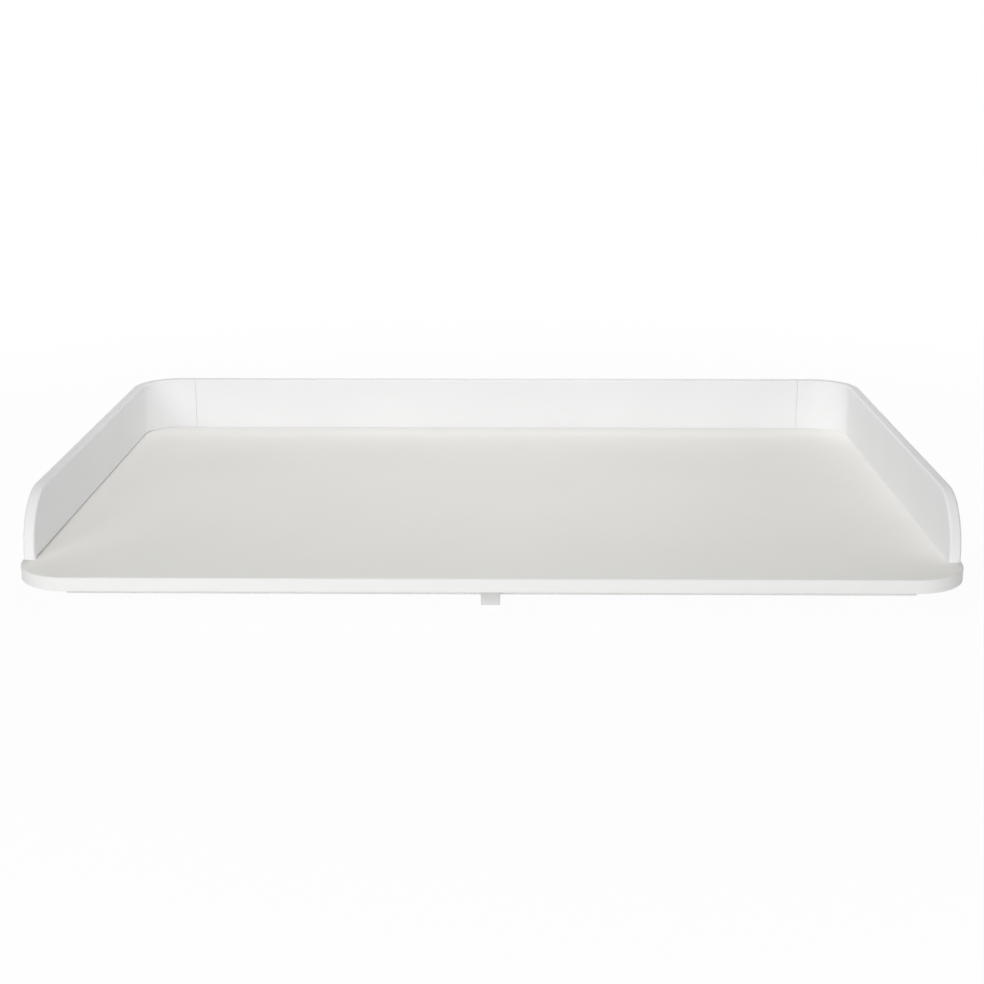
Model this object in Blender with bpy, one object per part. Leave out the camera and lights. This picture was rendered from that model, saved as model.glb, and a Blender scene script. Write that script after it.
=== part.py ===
"""A changing top for a dresser: a flat board with a low rim on three sides, on a frame of battens.

The rim is two side panels, each bent round its rear corner, and a straight back panel between them.
The origin is the middle of the plane on which the battens stand. X runs to the right as seen from the
front, Y to the back and Z up. Lengths are in metres.
"""

import math
from collections import namedtuple

import bmesh
import bpy
from mathutils import Matrix, Vector

MM = 0.001

# The board
BOARD_WIDTH = 1200 * MM
BOARD_DEPTH = 800 * MM
BOARD_THICKNESS = 18 * MM
BOARD_FRONT_RADIUS = 72 * MM
BOARD_EDGE_ROUND = 2 * MM

# The rim, whose height is measured from the board's top
RIM_HEIGHT = 82 * MM
RIM_THICKNESS = 15 * MM
RIM_INSET = 2 * MM
RIM_FRONT_SETBACK = 68 * MM
RIM_NOSE_RADIUS = 77 * MM
RIM_BEND_RADIUS = 70 * MM
RIM_RETURN = 21 * MM
RIM_EDGE_ROUND = 3.5 * MM
RIM_FOOT_ROUND = 1 * MM

# The battens under the board
BATTEN_WIDTH = 40 * MM
BATTEN_THICKNESS = 18 * MM
BATTEN_FRONT_SETBACK = 45 * MM
BATTEN_REAR_SETBACK = 45 * MM
BATTEN_SIDE_SETBACK = 61 * MM
BATTEN_EDGE_ROUND = 1 * MM

# The block that drops in front of the dresser's top
STOP_WIDTH = 24 * MM
STOP_THICKNESS = 18 * MM
STOP_DROP = 26 * MM
STOP_EDGE_ROUND = 1 * MM

# Dowels
DOWEL_DIAMETER = 8 * MM
DOWEL_LENGTH = 30 * MM
DOWEL_CHAMFER = 1 * MM
DOWEL_DEPTH_IN_BOARD = 12 * MM

# Screws: each is as long as the piece it passes through and its bite in the next one
SCREW_DIAMETER = 4 * MM
SCREW_HEAD_DIAMETER = 8 * MM
SCREW_HEAD_EDGE = 0.5 * MM
SCREW_POINT = 5 * MM
SCREW_RECESS_SPAN = 4.4 * MM
SCREW_RECESS_ARM = 1.2 * MM
SCREW_RECESS_DEPTH = 1.6 * MM
SCREW_SINK = 0.5 * MM
RIM_SCREW_BITE = 32 * MM
BATTEN_SCREW_BITE = 11 * MM
STOP_SCREW_BITE = 10 * MM

# Clearances
SEAT_GAP = 0.3 * MM
HOLE_CLEARANCE = 0.3 * MM
HOLE_END_ROOM = 0.8 * MM
CUT_OVERRUN = 3 * MM

# Places of the fasteners, as shares of the run of the piece that they hold
SIDE_SCREW_SHARES = (0.1, 0.5, 0.9)
SIDE_DOWEL_SHARES = (0.3, 0.7)
BEND_SCREW_SHARE = 0.5
BACK_SCREW_SHARES = (0.06, 0.35, 0.65, 0.94)
BACK_DOWEL_SHARES = (0.2, 0.8)
SEAM_DOWEL_SHARES = (0.3, 0.7)
LONG_BATTEN_SCREW_SHARES = (0.06, 0.35, 0.65, 0.94)
SHORT_BATTEN_SCREW_SHARES = (0.15, 0.85)

# How finely curves are divided
ARC_STEPS = 14
EDGE_STEPS = 2
TURNED_SIDES = 12
SHARP_ANGLE = math.radians(30)
WELD_SHARE = 0.001
NOSE_LIMIT_SHARE = 0.95

# Levels and lines that several pieces share
BOARD_BOTTOM = BATTEN_THICKNESS + SEAT_GAP
BOARD_TOP = BOARD_BOTTOM + BOARD_THICKNESS
RIM_BOTTOM = BOARD_TOP + SEAT_GAP
RIM_TOP = BOARD_TOP + RIM_HEIGHT
RIM_SIDE_FACE = BOARD_WIDTH / 2 - RIM_INSET
RIM_REAR_FACE = BOARD_DEPTH / 2 - RIM_INSET
RIM_FRONT_END = RIM_FRONT_SETBACK - BOARD_DEPTH / 2
NOSE_RADIUS = min(RIM_NOSE_RADIUS, (RIM_TOP - RIM_BOTTOM) * NOSE_LIMIT_SHARE)
BEND_X = RIM_SIDE_FACE - RIM_BEND_RADIUS
BEND_Y = RIM_REAR_FACE - RIM_BEND_RADIUS
BEND_MIDDLE_RADIUS = RIM_BEND_RADIUS - RIM_THICKNESS / 2
SEAM_X = BEND_X - RIM_RETURN
BACK_END_X = SEAM_X - SEAT_GAP
RIM_SIDE_MIDDLE = RIM_SIDE_FACE - RIM_THICKNESS / 2
RIM_REAR_MIDDLE = RIM_REAR_FACE - RIM_THICKNESS / 2
RIM_REAR_INNER = RIM_REAR_FACE - RIM_THICKNESS
BATTEN_FRONT_FACE = BATTEN_FRONT_SETBACK - BOARD_DEPTH / 2
BATTEN_REAR_FACE = BOARD_DEPTH / 2 - BATTEN_REAR_SETBACK
BATTEN_SIDE_FACE = BOARD_WIDTH / 2 - BATTEN_SIDE_SETBACK
STOP_REAR_FACE = BATTEN_FRONT_FACE - SEAT_GAP
STOP_BOTTOM = BOARD_BOTTOM - STOP_DROP

Fastener = namedtuple("Fastener", "mesh hole finish")


def remove_startup_objects():
    for obj in list(bpy.data.objects):
        bpy.data.objects.remove(obj, do_unlink=True)


def material(name, colour, roughness, metallic=0.0):
    """A Principled material in one colour, given as linear red, green and blue."""
    made = bpy.data.materials.new(name)
    made.use_nodes = True
    shader = made.node_tree.nodes["Principled BSDF"]
    shader.inputs["Base Color"].default_value = (*colour, 1.0)
    shader.inputs["Roughness"].default_value = roughness
    shader.inputs["Metallic"].default_value = metallic
    return made


def between(low, high, share):
    return low + (high - low) * share


def arc(centre_u, centre_v, radius, start_degrees, end_degrees):
    """Points along an arc, both ends included."""
    points = []
    for step in range(ARC_STEPS + 1):
        angle = math.radians(between(start_degrees, end_degrees, step / ARC_STEPS))
        points.append((centre_u + radius * math.cos(angle), centre_v + radius * math.sin(angle)))
    return points


def prism(points, depth):
    """A bmesh of the flat outline through the points, carried along the vector depth."""
    bm = bmesh.new()
    face = bm.faces.new([bm.verts.new(point) for point in points])
    grown = bmesh.ops.extrude_face_region(bm, geom=[face], use_keep_orig=True)
    moved = [item for item in grown["geom"] if isinstance(item, bmesh.types.BMVert)]
    bmesh.ops.translate(bm, vec=depth, verts=moved)
    bmesh.ops.recalc_face_normals(bm, faces=bm.faces)
    return bm


def block(low, high):
    """A bmesh of a square block between two corners."""
    outline = [(low[0], low[1]), (high[0], low[1]), (high[0], high[1]), (low[0], high[1])]
    return prism([(x, y, low[2]) for x, y in outline], (0, 0, high[2] - low[2]))


def faces_on(bm, axis, place):
    """The faces that lie in the plane where the axis has this value."""
    return {
        face
        for face in bm.faces
        if all(abs(vertex.co[axis] - place) < SEAT_GAP / 2 for vertex in face.verts)
    }


def split_faces(bm, faces, axis, place):
    """Draws a line across flat faces where the axis has this value, with their shape as it was."""
    middle = Vector((0, 0, 0))
    middle[axis] = place
    across = Vector((0, 0, 0))
    across[axis] = 1
    edges = {edge for face in faces for edge in face.edges}
    corners = {vertex for face in faces for vertex in face.verts}
    bmesh.ops.bisect_plane(
        bm, geom=[*corners, *edges, *faces], plane_co=middle, plane_no=across
    )


def round_edges(bm, radius, kept=frozenset()):
    """Rounds every sharp edge that touches none of the kept faces."""
    edges = [
        edge
        for edge in bm.edges
        if edge.calc_face_angle(0) > SHARP_ANGLE and not kept.intersection(edge.link_faces)
    ]
    bmesh.ops.bevel(
        bm, geom=edges, offset=radius, segments=EDGE_STEPS, profile=0.5, affect="EDGES"
    )


def finished_mesh(bm, name):
    bmesh.ops.recalc_face_normals(bm, faces=bm.faces)
    mesh = bpy.data.meshes.new(name)
    bm.to_mesh(mesh)
    bm.free()
    mesh.shade_smooth()
    mesh.set_sharp_from_angle(angle=SHARP_ANGLE)
    return mesh


def turned_mesh(name, profile):
    """A mesh turned about Z from (radius, height) points that start and end on the axis."""
    bm = bmesh.new()
    points = [bm.verts.new((radius, 0, height)) for radius, height in profile]
    edges = [bm.edges.new(pair) for pair in zip(points, points[1:])]
    bmesh.ops.spin(
        bm,
        geom=points + edges,
        cent=(0, 0, 0),
        axis=(0, 0, 1),
        angle=math.tau,
        steps=TURNED_SIDES,
        use_merge=True,
    )
    bmesh.ops.remove_doubles(bm, verts=bm.verts, dist=SEAT_GAP * WELD_SHARE)
    return finished_mesh(bm, name)


def placed(name, mesh, finish, parent, place=None):
    """An object of the mesh in the scene, under the empty that carries the whole top."""
    obj = bpy.data.objects.new(name, mesh)
    bpy.context.scene.collection.objects.link(obj)
    obj.parent = parent
    if place is not None:
        obj.matrix_local = place
    if not mesh.materials:
        mesh.materials.append(finish)
    return obj


def add_cut(obj, cutter):
    cut = obj.modifiers.new("cut", "BOOLEAN")
    cut.operation = "DIFFERENCE"
    cut.solver = "EXACT"
    cut.object = cutter


def drill(obj, holes):
    """Cuts the (mesh, place) plugs out of the object, with one hidden cutter for all of them."""
    bm = bmesh.new()
    for mesh, place in holes:
        start = len(bm.verts)
        bm.from_mesh(mesh)
        bm.verts.ensure_lookup_table()
        bmesh.ops.transform(bm, matrix=place, verts=bm.verts[start:])
    cutter = bpy.data.objects.new(obj.name + "_holes", finished_mesh(bm, obj.name + "_holes"))
    bpy.context.scene.collection.objects.link(cutter)
    cutter.parent = obj.parent
    cutter.hide_render = True
    cutter.display_type = "WIRE"
    add_cut(obj, cutter)


def at(x, y, z):
    return Matrix.Translation((x, y, z))


def along_x(x, y, z):
    """A place whose own Z axis lies along X."""
    return at(x, y, z) @ Matrix.Rotation(math.radians(90), 4, "Y")


# Fasteners and the holes that they sit in


def dowel(finish):
    """A dowel that lies evenly about its middle, and its hole with room past both ends."""
    radius = DOWEL_DIAMETER / 2
    end = DOWEL_LENGTH / 2
    pin = [
        (0, -end),
        (radius - DOWEL_CHAMFER, -end),
        (radius, DOWEL_CHAMFER - end),
        (radius, end - DOWEL_CHAMFER),
        (radius - DOWEL_CHAMFER, end),
        (0, end),
    ]
    bore = radius + HOLE_CLEARANCE
    far = end + HOLE_END_ROOM
    hole = [(0, -far), (bore, -far), (bore, far), (0, far)]
    return Fastener(turned_mesh("dowel", pin), turned_mesh("dowel_hole", hole), finish)


def screw_profile(length, clearance, end_room, mouth):
    """A countersunk screw from the head's face at zero up to its point, or its hole with clearance."""
    head = SCREW_HEAD_DIAMETER / 2 + clearance
    shank = SCREW_DIAMETER / 2 + clearance
    seat = SCREW_HEAD_EDGE + SCREW_HEAD_DIAMETER / 2 - SCREW_DIAMETER / 2
    return [
        (0, -mouth),
        (head, -mouth),
        (head, SCREW_HEAD_EDGE),
        (shank, seat),
        (shank, length - SCREW_POINT + end_room),
        (0, length + end_room),
    ]


def recess_cutter():
    """The cross in a screw's head, as two crossed bars that meet in one body."""
    far = SCREW_RECESS_SPAN / 2
    near = SCREW_RECESS_ARM / 2
    quarter = [(far, -near), (far, near), (near, near)]
    outline = []
    for turn in range(4):
        turned = Matrix.Rotation(math.radians(90 * turn), 2)
        outline += [turned @ Vector(point) for point in quarter]
    bm = prism([(x, y, -CUT_OVERRUN) for x, y in outline], (0, 0, CUT_OVERRUN + SCREW_RECESS_DEPTH))
    return bpy.data.objects.new("recess", finished_mesh(bm, "recess"))


def screw(length, finish):
    """A screw with a cross cut into its head, and its hole, which runs out past the head."""
    blank = bpy.data.objects.new("blank", turned_mesh("blank", screw_profile(length, 0, 0, 0)))
    recess = recess_cutter()
    for obj in (blank, recess):
        bpy.context.scene.collection.objects.link(obj)
    add_cut(blank, recess)
    graph = bpy.context.evaluated_depsgraph_get()
    mesh = bpy.data.meshes.new_from_object(blank.evaluated_get(graph))
    mesh.name = "screw"
    mesh.shade_smooth()
    mesh.set_sharp_from_angle(angle=SHARP_ANGLE)
    for obj in (blank, recess):
        bpy.data.objects.remove(obj, do_unlink=True)
    hole = screw_profile(length, HOLE_CLEARANCE, HOLE_END_ROOM, SCREW_SINK + CUT_OVERRUN)
    return Fastener(mesh, turned_mesh("screw_hole", hole), finish)


def fasten(stem, fastener, places, parent):
    """Sets a fastener at each place and gives back the holes that they need."""
    for number, place in enumerate(places, 1):
        placed(f"{stem}_{number}", fastener.mesh, fastener.finish, parent, place)
    return [(fastener.hole, place) for place in places]


# Where the fasteners go


def side_places(side, shares, level):
    """Places along the middle of a side panel's straight run."""
    x = side * RIM_SIDE_MIDDLE
    return [at(x, between(RIM_FRONT_END, BEND_Y, share), level) for share in shares]


def bend_place(side, level):
    """The place in the middle of the bend's wood."""
    angle = math.radians(90) * BEND_SCREW_SHARE
    x = BEND_X + BEND_MIDDLE_RADIUS * math.cos(angle)
    return at(side * x, BEND_Y + BEND_MIDDLE_RADIUS * math.sin(angle), level)


def back_places(shares, level):
    """Places along the middle of the back panel."""
    return [at(between(-BACK_END_X, BACK_END_X, share), RIM_REAR_MIDDLE, level) for share in shares]


def seam_places(side):
    """The middle of each dowel that crosses the seam on one side."""
    x = side * (SEAM_X + BACK_END_X) / 2
    return [
        along_x(x, RIM_REAR_MIDDLE, between(RIM_BOTTOM, RIM_TOP, share))
        for share in SEAM_DOWEL_SHARES
    ]


def batten_places(low, high, shares):
    """Places along the middle of a batten, whichever way it lies."""
    middle_x = (low[0] + high[0]) / 2
    middle_y = (low[1] + high[1]) / 2
    if high[0] - low[0] > high[1] - low[1]:
        return [at(between(low[0], high[0], share), middle_y, SCREW_SINK) for share in shares]
    return [at(middle_x, between(low[1], high[1], share), SCREW_SINK) for share in shares]


# The pieces


def base_board(finish, parent, holes):
    """The board, whose rear corners follow the bends of the rim.

    Lines on its top part the open bed, where a mat lies, from the strips that carry the rim.
    """
    half_width = BOARD_WIDTH / 2
    half_depth = BOARD_DEPTH / 2
    rear_radius = RIM_BEND_RADIUS + RIM_INSET
    corners = (
        (-1, -1, BOARD_FRONT_RADIUS, 180),
        (1, -1, BOARD_FRONT_RADIUS, 270),
        (1, 1, rear_radius, 0),
        (-1, 1, rear_radius, 90),
    )
    outline = []
    for side, end, radius, start in corners:
        centre_x = side * (half_width - radius)
        centre_y = end * (half_depth - radius)
        outline += arc(centre_x, centre_y, radius, start, start + 90)
    bm = prism([(x, y, BOARD_BOTTOM) for x, y in outline], (0, 0, BOARD_THICKNESS))
    round_edges(bm, BOARD_EDGE_ROUND)
    for axis, line in ((0, -BEND_X), (0, BEND_X), (1, RIM_REAR_INNER)):
        split_faces(bm, faces_on(bm, 2, BOARD_TOP), axis, line)
    drill(placed("base_board", finished_mesh(bm, "base_board"), finish, parent), holes)


def side_panel(name, side, finish, parent, holes):
    """A straight plate with a rounded nose, its rear end carried round the bend and along the return."""
    outer = side * RIM_SIDE_FACE
    nose = arc(RIM_FRONT_END + NOSE_RADIUS, RIM_TOP - NOSE_RADIUS, NOSE_RADIUS, 90, 180)
    outline = [(BEND_Y, RIM_BOTTOM), (BEND_Y, RIM_TOP), *nose, (RIM_FRONT_END, RIM_BOTTOM)]
    bm = prism([(outer, y, z) for y, z in outline], (-side * RIM_THICKNESS, 0, 0))
    rear = faces_on(bm, 1, BEND_Y).pop()
    bent = bmesh.ops.spin(
        bm,
        geom=[*rear.verts, *rear.edges, rear],
        cent=(side * BEND_X, BEND_Y, 0),
        axis=(0, 0, side),
        angle=math.radians(90),
        steps=ARC_STEPS,
    )
    end = [item for item in bent["geom_last"] if isinstance(item, bmesh.types.BMFace)]
    grown = bmesh.ops.extrude_face_region(bm, geom=end)
    moved = [item for item in grown["geom"] if isinstance(item, bmesh.types.BMVert)]
    bmesh.ops.translate(bm, vec=(-side * RIM_RETURN, 0, 0), verts=moved)
    bmesh.ops.delete(bm, geom=end, context="FACES_ONLY")
    bmesh.ops.recalc_face_normals(bm, faces=bm.faces)
    seam = side * SEAM_X
    round_edges(bm, RIM_EDGE_ROUND, faces_on(bm, 0, seam) | faces_on(bm, 2, RIM_BOTTOM))
    round_edges(bm, RIM_FOOT_ROUND, faces_on(bm, 0, seam))
    drill(placed(name, finished_mesh(bm, name), finish, parent), holes)


def back_panel(finish, parent, holes):
    """The straight back between the two returns, its ends left square for the seams."""
    bm = block(
        (-BACK_END_X, RIM_REAR_INNER, RIM_BOTTOM),
        (BACK_END_X, RIM_REAR_FACE, RIM_TOP),
    )
    ends = faces_on(bm, 0, -BACK_END_X) | faces_on(bm, 0, BACK_END_X)
    round_edges(bm, RIM_EDGE_ROUND, ends | faces_on(bm, 2, RIM_BOTTOM))
    ends = faces_on(bm, 0, -BACK_END_X) | faces_on(bm, 0, BACK_END_X)
    round_edges(bm, RIM_FOOT_ROUND, ends)
    drill(placed("back_panel", finished_mesh(bm, "back_panel"), finish, parent), holes)


def batten_layout():
    """Each batten's name, its low and high corner in plan, and the shares of its screws."""
    side = BATTEN_SIDE_FACE
    inner_side = side - BATTEN_WIDTH
    half = BATTEN_WIDTH / 2
    front = BATTEN_FRONT_FACE + BATTEN_WIDTH
    rear = BATTEN_REAR_FACE - BATTEN_WIDTH
    near = front + SEAT_GAP
    far = rear - SEAT_GAP
    short = SHORT_BATTEN_SCREW_SHARES
    return (
        ("front_batten", (-side, BATTEN_FRONT_FACE), (side, front), LONG_BATTEN_SCREW_SHARES),
        ("rear_batten", (-side, rear), (side, BATTEN_REAR_FACE), LONG_BATTEN_SCREW_SHARES),
        ("side_batten_left", (-side, near), (-inner_side, far), short),
        ("side_batten_right", (inner_side, near), (side, far), short),
        ("centre_batten", (-half, near), (half, far), short),
    )


def batten(name, low, high, finish, parent, holes):
    bm = block((*low, 0), (*high, BATTEN_THICKNESS))
    round_edges(bm, BATTEN_EDGE_ROUND)
    drill(placed(name, finished_mesh(bm, name), finish, parent), holes)


def stop_block(finish, parent, holes):
    """The block against the front batten's face, which reaches lower than the battens."""
    bm = block(
        (-STOP_WIDTH / 2, STOP_REAR_FACE - STOP_THICKNESS, STOP_BOTTOM),
        (STOP_WIDTH / 2, STOP_REAR_FACE, BOARD_BOTTOM - SEAT_GAP),
    )
    round_edges(bm, STOP_EDGE_ROUND)
    drill(placed("stop_block", finished_mesh(bm, "stop_block"), finish, parent), holes)


# The assembly


def rim(finish, beech, zinc, parent):
    """The three rim panels with their screws and dowels. Gives back the holes in the board."""
    pin = dowel(beech)
    long_screw = screw(BOARD_THICKNESS - SCREW_SINK + SEAT_GAP + RIM_SCREW_BITE, zinc)
    screw_level = BOARD_BOTTOM + SCREW_SINK
    dowel_level = BOARD_TOP - DOWEL_DEPTH_IN_BOARD + DOWEL_LENGTH / 2
    board_holes = []
    seam_holes = []
    for name, side in (("left", -1), ("right", 1)):
        screws = side_places(side, SIDE_SCREW_SHARES, screw_level) + [bend_place(side, screw_level)]
        dowels = side_places(side, SIDE_DOWEL_SHARES, dowel_level)
        upright = fasten(f"rim_screw_{name}", long_screw, screws, parent)
        upright += fasten(f"rim_dowel_{name}", pin, dowels, parent)
        across = fasten(f"seam_dowel_{name}", pin, seam_places(side), parent)
        side_panel(f"side_panel_{name}", side, finish, parent, upright + across)
        board_holes += upright
        seam_holes += across
    screws = back_places(BACK_SCREW_SHARES, screw_level)
    upright = fasten("rim_screw_back", long_screw, screws, parent)
    dowels = back_places(BACK_DOWEL_SHARES, dowel_level)
    upright += fasten("rim_dowel_back", pin, dowels, parent)
    back_panel(finish, parent, upright + seam_holes)
    return board_holes + upright


def batten_frame(finish, zinc, parent):
    """The battens and the stop block with their screws. Gives back the holes in the board."""
    short_screw = screw(BATTEN_THICKNESS - SCREW_SINK + SEAT_GAP + BATTEN_SCREW_BITE, zinc)
    board_holes = []
    for name, low, high, shares in batten_layout():
        screws = batten_places(low, high, shares)
        holes = fasten(f"{name}_screw", short_screw, screws, parent)
        batten(name, low, high, finish, parent, holes)
        board_holes += holes
    stop_screw = screw(STOP_DROP - SCREW_SINK + STOP_SCREW_BITE, zinc)
    place = at(0, STOP_REAR_FACE - STOP_THICKNESS / 2, STOP_BOTTOM + SCREW_SINK)
    holes = fasten("stop_block_screw", stop_screw, [place], parent)
    stop_block(finish, parent, holes)
    return board_holes + holes


def main():
    remove_startup_objects()
    whole = bpy.data.objects.new("changing_top", None)
    bpy.context.scene.collection.objects.link(whole)
    board_white = material("board_lacquer", (0.84, 0.835, 0.82), 0.42)
    rim_white = material("rim_lacquer", (0.87, 0.87, 0.865), 0.42)
    batten_white = material("batten_paint", (0.8, 0.8, 0.79), 0.6)
    beech = material("beech", (0.62, 0.43, 0.25), 0.7)
    zinc = material("zinc_plate", (0.6, 0.61, 0.6), 0.35, 1.0)
    holes = rim(rim_white, beech, zinc, whole)
    holes += batten_frame(batten_white, zinc, whole)
    base_board(board_white, whole, holes)


main()
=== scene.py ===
"""Dresses the changing top: a white lacquered tray with a low rim, on battens for a dresser's top.

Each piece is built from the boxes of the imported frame, in metres, with X to the right, Y to the
back and Z up. The sizes and colours that a maker would change are in the sidebar's panel.
"""

import math

import bmesh
import bpy
from bpy.props import FloatProperty, FloatVectorProperty, IntProperty, PointerProperty
from mathutils import Matrix, Vector


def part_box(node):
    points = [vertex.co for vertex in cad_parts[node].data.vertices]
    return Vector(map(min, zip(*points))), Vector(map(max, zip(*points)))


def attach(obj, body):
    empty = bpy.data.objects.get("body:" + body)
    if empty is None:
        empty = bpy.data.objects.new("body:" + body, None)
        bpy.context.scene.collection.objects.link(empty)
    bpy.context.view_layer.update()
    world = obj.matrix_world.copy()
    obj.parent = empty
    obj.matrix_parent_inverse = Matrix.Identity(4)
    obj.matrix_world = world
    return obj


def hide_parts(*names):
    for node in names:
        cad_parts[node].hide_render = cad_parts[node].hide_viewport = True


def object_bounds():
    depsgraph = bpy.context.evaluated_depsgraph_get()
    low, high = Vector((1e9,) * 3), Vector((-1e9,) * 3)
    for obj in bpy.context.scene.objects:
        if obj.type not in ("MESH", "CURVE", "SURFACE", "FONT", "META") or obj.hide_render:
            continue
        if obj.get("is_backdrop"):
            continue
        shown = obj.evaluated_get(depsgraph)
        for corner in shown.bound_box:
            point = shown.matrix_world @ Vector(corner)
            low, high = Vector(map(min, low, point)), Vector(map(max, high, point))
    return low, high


bl_info = {
    "name": "Changing Top",
    "version": (1, 0, 0),
    "blender": (4, 5, 0),
    "location": "3D View > Sidebar > Changing Top",
    "description": "Builds a white changing top for a dresser round its packed frame",
    "category": "Object",
}

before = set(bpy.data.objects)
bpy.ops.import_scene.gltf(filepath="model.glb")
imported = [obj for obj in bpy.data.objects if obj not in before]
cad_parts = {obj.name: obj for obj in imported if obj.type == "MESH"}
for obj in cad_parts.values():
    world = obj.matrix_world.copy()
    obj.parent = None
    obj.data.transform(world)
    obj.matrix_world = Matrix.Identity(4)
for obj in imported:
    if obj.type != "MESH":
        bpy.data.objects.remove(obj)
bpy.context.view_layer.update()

MM = 0.001
BODY = "root"

QUARTER_TURN = math.radians(90)

# How finely curves are divided, and how far two faces turn where an edge counts as sharp
CORNER_STEPS = 40
EDGE_STEPS = 5
HOLE_SIDES = 32
SCREW_SIDES = 16
ROWS_A_THREAD = 6
SIDES_A_FLUTE = 4
SHARP_ANGLE = math.radians(30)

# Which nodes a piece of screws stands for, by the start of their names
RIM_SCREWS = "rim_screw_"
STOP_SCREWS = "stop_block_screw_"

# Each batten's node and the name of its piece
BATTENS = {
    "front_batten": "batten_front",
    "rear_batten": "batten_rear",
    "side_batten_left": "batten_left",
    "side_batten_right": "batten_right",
    "centre_batten": "batten_centre",
}


def linear(hex_colour):
    """Linear red, green and blue of an sRGB hex colour."""
    values = [int(hex_colour[place : place + 2], 16) / 255 for place in (1, 3, 5)]
    return [v / 12.92 if v <= 0.04045 else ((v + 0.055) / 1.055) ** 2.4 for v in values]


def length(name, description, default):
    return FloatProperty(
        name=name, description=description, default=default, min=0.0, precision=4, unit="LENGTH"
    )


def colour(name, description, default):
    return FloatVectorProperty(
        name=name,
        description=description,
        default=linear(default),
        size=3,
        min=0.0,
        max=1.0,
        subtype="COLOR",
    )


class TopSizes(bpy.types.PropertyGroup):
    """The sizes that the boxes of the frame don't give."""

    front_corner: length("Front corner", "Radius of the board's front corners", 72 * MM)
    board_round: length("Board edges", "Rounding of the board's upper edge", 2 * MM)
    under_round: length("Board underside", "Rounding of the board's lower edge", 0.8 * MM)
    bend: length("Rim bend", "Outer radius of the rim's bend round a rear corner", 70 * MM)
    nose: length("Rim nose", "Radius of the rim's front top corner", 77 * MM)
    rim_round: length("Rim edges", "Rounding of the rim's upper and front edges", 3.5 * MM)
    foot_round: length("Rim foot", "Rounding of the rim's edges along the board", 0.15 * MM)
    joint: length("Joint", "Height of the paint line between the rim and the board", 0.02 * MM)
    open_joint: length("Open joint", "How far the left panel's foot stands open inside", 3.2 * MM)
    joint_start: length("Joint start", "Where that opening starts behind the nose", 4 * MM)
    joint_run: length("Joint run", "Length over which it grows to its full height", 8 * MM)
    seam_round: length("Seam edges", "Broken edge on both sides of an upright seam", 0.25 * MM)
    batten_round: length("Batten edges", "Rounding of the battens and the stop block", 1 * MM)
    clearance: length("Hole clearance", "Room round a fastener in its hole", 0.3 * MM)
    head: length("Screw head", "Diameter of a screw's head", 8 * MM)
    head_edge: length("Head edge", "Height of the head's straight edge", 0.5 * MM)
    shank: length("Screw shank", "Diameter of a screw's plain shank", 2.9 * MM)
    core: length("Screw core", "Diameter of a screw inside its thread", 2.6 * MM)
    thread: length("Screw thread", "Diameter of a screw over its thread", 4 * MM)
    pitch: length("Thread pitch", "Distance from one turn of thread to the next", 1.8 * MM)
    point: length("Screw point", "Length of a screw's point", 5 * MM)
    recess: length("Recess", "Width of the cross in a screw's head", 4.4 * MM)
    recess_arm: length("Recess arm", "Width of one arm of the cross", 1.2 * MM)
    recess_depth: length("Recess depth", "Depth of the cross", 1.6 * MM)
    chamfer: length("Dowel chamfer", "Chamfer at the ends of a dowel", 1 * MM)
    flute: length("Dowel flute", "Depth of the glue flutes along a dowel", 0.25 * MM)
    flutes: IntProperty(
        name="Flutes", description="Number of glue flutes round a dowel", default=18, min=0
    )


class TopColours(bpy.types.PropertyGroup):
    """The colours of the finishes."""

    board: colour("Board", "Satin lacquer on the board", "#F3F2EE")
    board_edge: colour("Board edge", "Satin lacquer on the board's edge and underside", "#F1F1F0")
    rim: colour("Rim", "Satin lacquer on the rim", "#F5F5F6")
    batten: colour("Battens", "Matt paint on the battens", "#F7F7F5")
    # The stop block's grey is painted shade: the block is painted white like the battens, and its
    # colour is darkened for the shade under the board's overhang.
    stop: colour("Stop block", "Matt paint on the stop block", "#E1E1E1")
    beech: colour("Beech", "Bare beech of the dowels", "#D9B98C")
    beech_fleck: colour("Beech fleck", "Darker rays in the beech", "#B98F62")
    zinc: colour("Zinc", "Zinc plate on the screws", "#C9CBCC")
    floor: colour("Floor", "Paper under the top", "#F5F5F5")


# Small steps that several pieces share


def between(low, high, share):
    return low + (high - low) * share


def arc(centre_u, centre_v, radius, start, end):
    """Points along an arc between two angles in degrees, both ends included."""
    points = []
    for step in range(CORNER_STEPS + 1):
        angle = math.radians(between(start, end, step / CORNER_STEPS))
        points.append((centre_u + radius * math.cos(angle), centre_v + radius * math.sin(angle)))
    return points


def prism(points, depth):
    """A bmesh of the flat outline through the points, carried along the vector depth."""
    bm = bmesh.new()
    face = bm.faces.new([bm.verts.new(point) for point in points])
    grown = bmesh.ops.extrude_face_region(bm, geom=[face], use_keep_orig=True)
    moved = [item for item in grown["geom"] if isinstance(item, bmesh.types.BMVert)]
    bmesh.ops.translate(bm, vec=depth, verts=moved)
    bmesh.ops.recalc_face_normals(bm, faces=bm.faces)
    return bm


def block(low, high):
    """A bmesh of a square block between two corners."""
    outline = [(low.x, low.y), (high.x, low.y), (high.x, high.y), (low.x, high.y)]
    return prism([(x, y, low.z) for x, y in outline], (0, 0, high.z - low.z))


def faces_on(bm, axis, place, room=0.1 * MM):
    """The faces that lie in the plane where the axis has this value."""
    return {
        face for face in bm.faces if all(abs(v.co[axis] - place) < room for v in face.verts)
    }


def round_edges(bm, radius, among=None, kept=frozenset()):
    """Rounds the sharp edges, but none on a kept face and, where some are given, only on those."""
    edges = [
        edge
        for edge in bm.edges
        if edge.calc_face_angle(0) > SHARP_ANGLE
        and not kept.intersection(edge.link_faces)
        and (among is None or among.intersection(edge.link_faces))
    ]
    bmesh.ops.bevel(
        bm, geom=edges, offset=radius, segments=EDGE_STEPS, profile=0.5, affect="EDGES"
    )


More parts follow.
